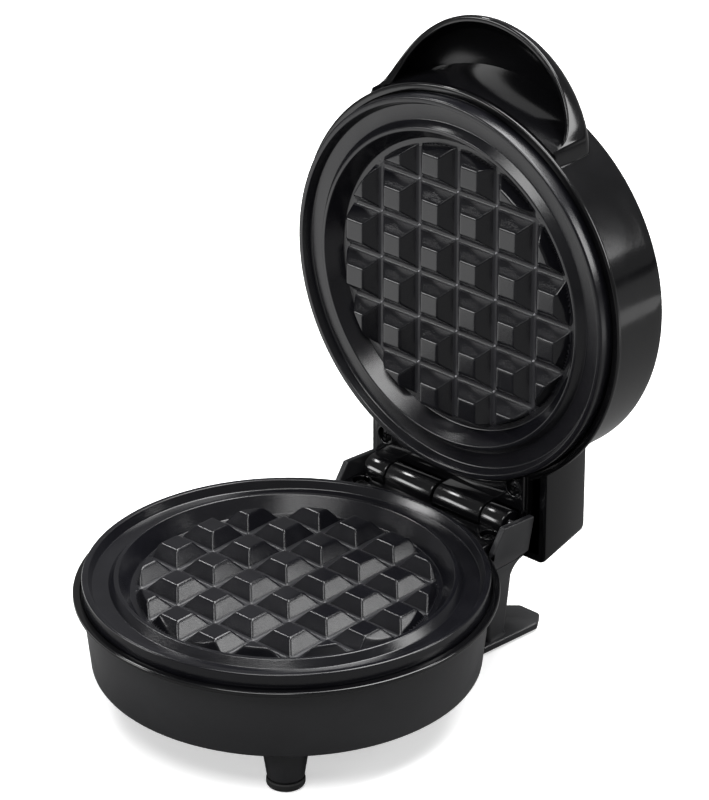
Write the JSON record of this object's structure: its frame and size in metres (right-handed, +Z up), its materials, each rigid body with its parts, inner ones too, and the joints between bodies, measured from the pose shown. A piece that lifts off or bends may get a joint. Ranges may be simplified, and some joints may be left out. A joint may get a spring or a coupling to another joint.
{
  "type": "waffle maker",
  "caption": "Small round countertop waffle maker with a hinged lid standing open, a domed loop handle and gridded non-stick cooking plates.",
  "frame": {"origin": "middle of the open appliance's footprint box, on the surface it stands on", "axes": "+Z up, +Y towards the hinge, the heel and the cord stand, +X to the right as the user faces the appliance, along the hinge"},
  "size_m": [0.132, 0.1692, 0.1998],
  "materials": {
    "gloss_black": "polished black phenolic",
    "satin_black": "satin black moulding",
    "non_stick": "dark grey non-stick coating on cast aluminium",
    "rubber": "matte black rubber",
    "black_steel": "blackened steel",
    "pin_steel": "bright steel",
    "heater_steel": "heat-tinted stainless sheath",
    "sheet_metal": "plain pressed sheet",
    "ceramic": "unglazed ceramic",
    "wire_white": "glass-braid sleeve and nylon",
    "red_lens": "translucent red",
    "green_lens": "translucent green"
  },
  "bodies": {
    "base": {"base_shell": "satin_black", "base_frame": "gloss_black", "base_bottom_cover": "satin_black", "rear_stand": "satin_black", "cord_gland": "rubber", "front_left_leg": "satin_black", "front_right_leg": "satin_black", "front_left_foot": "rubber", "front_right_foot": "rubber", "rear_left_foot": "rubber", "rear_right_foot": "rubber", "base_frame_screw_left": "black_steel", "base_frame_screw_right": "black_steel", "lower_cooking_plate": "non_stick", "lower_heater": "heater_steel", "lower_reflector": "sheet_metal", "lower_thermostat": "ceramic", "terminal_block": "wire_white", "thermal_fuse": "ceramic", "live_wire": "wire_white", "neutral_wire": "wire_white", "bottom_cover_screw_1": "black_steel", "bottom_cover_screw_2": "black_steel", "bottom_cover_screw_3": "black_steel", "hinge_pin": "pin_steel"},
    "lid": {"lid_shell": "gloss_black", "lid_frame": "gloss_black", "upper_cooking_plate": "non_stick", "upper_heater": "heater_steel", "upper_reflector": "sheet_metal", "upper_thermostat": "ceramic", "power_lamp_lens": "red_lens", "power_lamp": "red_lens", "ready_lamp_lens": "green_lens", "ready_lamp": "green_lens", "lid_frame_screw_left": "black_steel", "lid_frame_screw_right": "black_steel"}
  },
  "joints": [
    {"name": "lid_hinge", "type": "hinge", "parent": "base", "child": "lid", "pos_m": [0, 0.0529, 0.0436], "axis": [1, 0, 0], "range_deg": [0, 90]}
  ]
}
